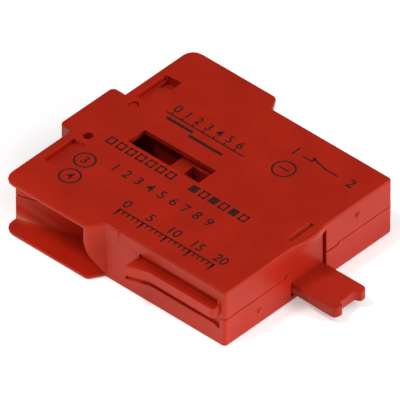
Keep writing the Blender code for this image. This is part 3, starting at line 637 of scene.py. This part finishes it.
def springTree():
    tree, given = newTree("coil_spring", {
        "Rear": "NodeSocketFloat", "Height": "NodeSocketFloat", "Radius": "NodeSocketFloat",
        "Wire": "NodeSocketFloat", "Closed Turns": "NodeSocketFloat", "Active Turns": "NodeSocketFloat",
        "Closed Pitch": "NodeSocketFloat", "Active Pitch": "NodeSocketFloat", "Points": "NodeSocketInt",
        "Sides": "NodeSocketInt"})
    line = addNode(tree, "GeometryNodeCurvePrimitiveLine")
    path = addNode(tree, "GeometryNodeResampleCurve", {
        "Curve": line.outputs["Curve"], "Count": given["Points"]})
    along = addNode(tree, "GeometryNodeSplineParameter").outputs["Factor"]
    ends = addNode(tree, "ShaderNodeMath", {0: given["Closed Turns"], 1: 2.0}, operation="MULTIPLY")
    wound = addNode(tree, "ShaderNodeMath", {0: given["Active Turns"], 1: ends.outputs[0]},
                    operation="ADD")
    turns = addNode(tree, "ShaderNodeMath", {0: along, 1: wound.outputs[0]},
                    operation="MULTIPLY").outputs[0]
    past = addNode(tree, "ShaderNodeMath", {0: turns, 1: given["Closed Turns"]}, operation="SUBTRACT")
    past = addNode(tree, "ShaderNodeMath", {0: past.outputs[0], 1: 0.0}, operation="MAXIMUM")
    opened = addNode(tree, "ShaderNodeMath", {
        0: past.outputs[0], 1: given["Active Turns"]}, operation="MINIMUM")
    closed = addNode(tree, "ShaderNodeMath", {0: turns, 1: opened.outputs[0]}, operation="SUBTRACT")
    start = addNode(tree, "ShaderNodeMath", {
        0: given["Wire"], 1: 0.5, 2: given["Rear"]}, operation="MULTIPLY_ADD")
    rise = addNode(tree, "ShaderNodeMath", {
        0: closed.outputs[0], 1: given["Closed Pitch"], 2: start.outputs[0]}, operation="MULTIPLY_ADD")
    x = addNode(tree, "ShaderNodeMath", {
        0: opened.outputs[0], 1: given["Active Pitch"], 2: rise.outputs[0]}, operation="MULTIPLY_ADD")
    angle = addNode(tree, "ShaderNodeMath", {0: turns, 1: 2 * math.pi},
                    operation="MULTIPLY").outputs[0]
    across = addNode(tree, "ShaderNodeMath", {0: angle}, operation="COSINE")
    upward = addNode(tree, "ShaderNodeMath", {0: angle}, operation="SINE")
    y = addNode(tree, "ShaderNodeMath", {0: across.outputs[0], 1: given["Radius"]},
                operation="MULTIPLY")
    z = addNode(tree, "ShaderNodeMath", {
        0: upward.outputs[0], 1: given["Radius"], 2: given["Height"]}, operation="MULTIPLY_ADD")
    half = addNode(tree, "ShaderNodeMath", {0: given["Wire"], 1: 0.5}, operation="MULTIPLY")
    place = addNode(tree, "ShaderNodeCombineXYZ", {
        "X": x.outputs[0], "Y": y.outputs[0], "Z": z.outputs[0]})
    coil = addNode(tree, "GeometryNodeSetPosition", {
        "Geometry": path.outputs[0], "Position": place.outputs[0]})
    ring = addNode(tree, "GeometryNodeCurvePrimitiveCircle", {
        "Resolution": given["Sides"], "Radius": half.outputs[0]})
    wire = addNode(tree, "GeometryNodeCurveToMesh", {
        "Curve": coil.outputs[0], "Profile Curve": ring.outputs["Curve"], "Fill Caps": True})
    endTree(tree, wire.outputs[0], finishes["spring_steel"])
    return tree


def buildSprings(tree):
    for nodeName, spring in springs.items():
        low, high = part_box(nodeName)
        wire = spring["wireMm"] * mm
        length = high.x - low.x
        closed = springMake["closedTurns"]
        closedPitch = springMake["closedPitch"] * wire
        turns = spring["activeTurns"] + 2 * closed
        mesh = runTree(tree, {
            "Rear": low.x, "Height": (low.z + high.z) / 2, "Radius": (high.z - low.z - wire) / 2,
            "Wire": wire, "Closed Turns": closed, "Active Turns": spring["activeTurns"],
            "Closed Pitch": closedPitch,
            "Active Pitch": (length - wire - 2 * closed * closedPitch) / spring["activeTurns"],
            "Points": round(turns * springMake["pointsPerTurn"]), "Sides": springMake["wireSides"]})
        for face in mesh.polygons:
            face.use_smooth = True
        piece = addPiece(nodeName + "_wire", mesh, spring["body"], finishes["spring_steel"],
                         [nodeName])
        if spring["squashed"]:
            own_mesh(piece)


springMaker = springTree()
buildSprings(springMaker)
print("springs wound")

# terminal screws: the node's copy, with a rolled thread cut into the shank
screwMake = {
    "edge": 0.12 * mm,
    "pitch": 0.6 * mm,
    "groove": 0.44 * mm,
    "shankRadius": 1.75 * mm,
    "seatX": -17.1 * mm,
    "threadStart": 0.5 * mm,
}


def buildScrews(tree):
    for side in ("left", "right"):
        nodeName = "terminal_screw_" + side
        low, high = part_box(nodeName)
        start = screwMake["seatX"] + screwMake["threadStart"]
        turns = (high.x + screwMake["pitch"] - start) / screwMake["pitch"]
        groove = runTree(tree, {
            "Rear": start, "Height": 0.0, "Radius": screwMake["shankRadius"],
            "Wire": screwMake["groove"], "Closed Turns": 0.0, "Active Turns": turns,
            "Closed Pitch": 0.0, "Active Pitch": screwMake["pitch"],
            "Points": round(turns * springMake["pointsPerTurn"]), "Sides": springMake["wireSides"]})
        groove.transform(Matrix.Translation((0.0, (low.y + high.y) / 2, (low.z + high.z) / 2)))
        cutter = bpy.data.objects.new("thread_cutter", groove)
        scene.collection.objects.link(cutter)
        blank = roundEdges(mergedCopy(nodeName), "plain_screw", screwMake["edge"])
        plain = bpy.data.objects.new("plain_screw", blank)
        scene.collection.objects.link(plain)
        finishEdges(plain, screwMake["edge"])
        thread = plain.modifiers.new("thread", "BOOLEAN")
        thread.operation = "DIFFERENCE"
        thread.solver = "EXACT"
        thread.object = cutter
        mesh = evaluatedMesh(plain)
        mesh.set_sharp_from_angle(angle=math.radians(edges["sharpAngle"]))
        addPiece(nodeName + "_threaded", mesh, "screw_" + side, finishes["zinc_steel"],
                 [nodeName])
        bpy.data.objects.remove(plain)
        bpy.data.objects.remove(cutter)


buildScrews(springMaker)
print("screws threaded")

# print on the wide face, in mm: plain numbers, scales, boxes and the contact's diagram
printing = {
    "inkMm": 0.012,
    "bedMm": 0.004,
    "boldMm": 0.03,
    "lineMm": 0.3,
    "weldMm": 0.0002,
    "ringPoints": 64,
    "digitShare": 0.7,  # a digit's height, of the font's size
}
numbers = [
    *[{"text": str(n), "at": (-12.7 + 2.05 * n, 8.4), "tall": 1.6} for n in range(7)],
    {"text": "1", "at": (6.35, 12.9), "tall": 1.8},
    {"text": "2", "at": (17.25, 12.8), "tall": 1.8},
    {"text": "3", "at": (-14.7, -9.3), "tall": 1.5},
    {"text": "4", "at": (-13.85, -13.4), "tall": 1.5},
    *[{"text": str(n + 1), "at": (-10.3 + 2.3 * n, -7.6), "tall": 1.7} for n in range(9)],
    *[{"text": str(5 * n), "at": (-3.3 + 4.6 * n, -12.55), "tall": 1.7} for n in range(5)],
]
# bars: middle of the first, size, step along X and count where it repeats, turn in degrees
bars = [
    {"at": (-6.0, 6.9), "size": (15.3, 0.26)},
    {"at": (-12.7, 7.2), "size": (0.26, 0.5), "step": 2.05, "count": 7},
    {"at": (-10.1, 5.95), "size": (5.2, 0.55)},
    {"at": (-4.2, 5.05), "size": (6.6, 0.55)},
    {"at": (-3.3, -14.8), "size": (0.32, 1.5), "step": 4.6, "count": 5},
    {"at": (-3.3, -14.4), "size": (0.26, 0.8), "step": 0.92, "count": 21},
    {"at": (5.9, -14.0), "size": (18.8, 0.26)},
    {"at": (1.4, -3.4), "size": (1.4, 1.5), "step": 3.9, "count": 3},
    {"at": (7.85, 8.8), "size": (1.9, 0.3)},
    {"at": (8.75, 12.8), "size": (1.8, 0.28)},
    {"at": (13.6, 12.8), "size": (2.4, 0.28)},
    {"at": (9.65, 13.25), "size": (0.28, 1.1)},
    {"at": (10.85, 13.15), "size": (3.3, 0.3), "turn": -14},  # the diagram's moving arm
]
# open boxes: each side is a row of bars, given by its offset from the middle and its size
openBoxes = [
    {"at": (-14.9, -3.4), "step": 1.95, "count": 7},
    {"at": (3.35, -3.4), "step": 3.9, "count": 3},
]
boxSides = [((0, 0.65), (1.3, 0.28)), ((0, -0.65), (1.3, 0.28)),
            ((-0.55, 0), (0.28, 1.5)), ((0.55, 0), (0.28, 1.5))]
rings = [
    {"at": (7.85, 8.8), "radius": 1.75},
    {"at": (-14.7, -9.3), "radius": 1.6},
    {"at": (-13.85, -13.4), "radius": 1.6},
]


def ringTree():
    tree, given = newTree("print_ring", {
        "Place": "NodeSocketVector", "Radius": "NodeSocketFloat", "Width": "NodeSocketFloat",
        "Thickness": "NodeSocketFloat", "Points": "NodeSocketInt"})
    loop = addNode(tree, "GeometryNodeCurvePrimitiveCircle", {
        "Resolution": given["Points"], "Radius": given["Radius"]})
    moved = addNode(tree, "GeometryNodeSetPosition", {
        "Geometry": loop.outputs["Curve"], "Offset": given["Place"]})
    section = addNode(tree, "GeometryNodeCurvePrimitiveQuadrilateral", {
        "Width": given["Width"], "Height": given["Thickness"]})
    band = addNode(tree, "GeometryNodeCurveToMesh", {
        "Curve": moved.outputs[0], "Profile Curve": section.outputs[0]})
    endTree(tree, band.outputs[0], inkFilm)
    return tree


def rowTree():
    tree, given = newTree("print_row", {
        "Start": "NodeSocketVector", "Step": "NodeSocketVector", "Count": "NodeSocketInt",
        "Size": "NodeSocketVector", "Turn": "NodeSocketVector"})
    line = addNode(tree, "GeometryNodeMeshLine", {
        "Count": given["Count"], "Start Location": given["Start"], "Offset": given["Step"]})
    bar = addNode(tree, "GeometryNodeMeshCube", {"Size": given["Size"]})
    bars = addNode(tree, "GeometryNodeInstanceOnPoints", {
        "Points": line.outputs[0], "Instance": bar.outputs["Mesh"], "Rotation": given["Turn"]})
    endTree(tree, bars.outputs[0], inkFilm)
    return tree


def numberMesh(number, height):
    curve = bpy.data.curves.new("number", "FONT")
    curve.body = number["text"]
    curve.align_x = "CENTER"
    curve.align_y = "CENTER"
    curve.size = number["tall"] / printing["digitShare"] * mm
    curve.offset = printing["boldMm"] * mm
    curve.extrude = printing["inkMm"] / 2 * mm
    holder = bpy.data.objects.new("number", curve)
    scene.collection.objects.link(holder)
    mesh = evaluatedMesh(holder)
    bpy.data.objects.remove(holder)
    mesh.transform(Matrix.Translation((number["at"][0] * mm, number["at"][1] * mm, height)))
    return mesh


def boxBars():
    for box in openBoxes:
        for offset, size in boxSides:
            at = (box["at"][0] + offset[0], box["at"][1] + offset[1])
            yield {**box, "at": at, "size": size}


def buildPrint():
    low = bodyTop - shells["printSink"] - printing["bedMm"] * mm
    height = low + printing["inkMm"] / 2 * mm
    work = bmesh.new()
    for number in numbers:
        work.from_mesh(numberMesh(number, height))
    tree = rowTree()
    for bar in [*bars, *boxBars()]:
        work.from_mesh(runTree(tree, {
            "Start": (bar["at"][0] * mm, bar["at"][1] * mm, height),
            "Step": (bar.get("step", 0) * mm, 0.0, 0.0), "Count": bar.get("count", 1),
            "Size": (bar["size"][0] * mm, bar["size"][1] * mm, printing["inkMm"] * mm),
            "Turn": (0.0, 0.0, math.radians(bar.get("turn", 0)))}))
    loops = ringTree()
    for ring in rings:
        work.from_mesh(runTree(loops, {
            "Place": (ring["at"][0] * mm, ring["at"][1] * mm, height),
            "Radius": ring["radius"] * mm, "Width": printing["lineMm"] * mm,
            "Thickness": printing["inkMm"] * mm, "Points": printing["ringPoints"]}))
    bmesh.ops.remove_doubles(work, verts=work.verts, dist=printing["weldMm"] * mm)
    mesh = bpy.data.meshes.new("print_marks")
    work.to_mesh(mesh)
    work.free()
    addPiece("print_marks", mesh, "housing", inkFilm)


buildPrint()
print("print laid")
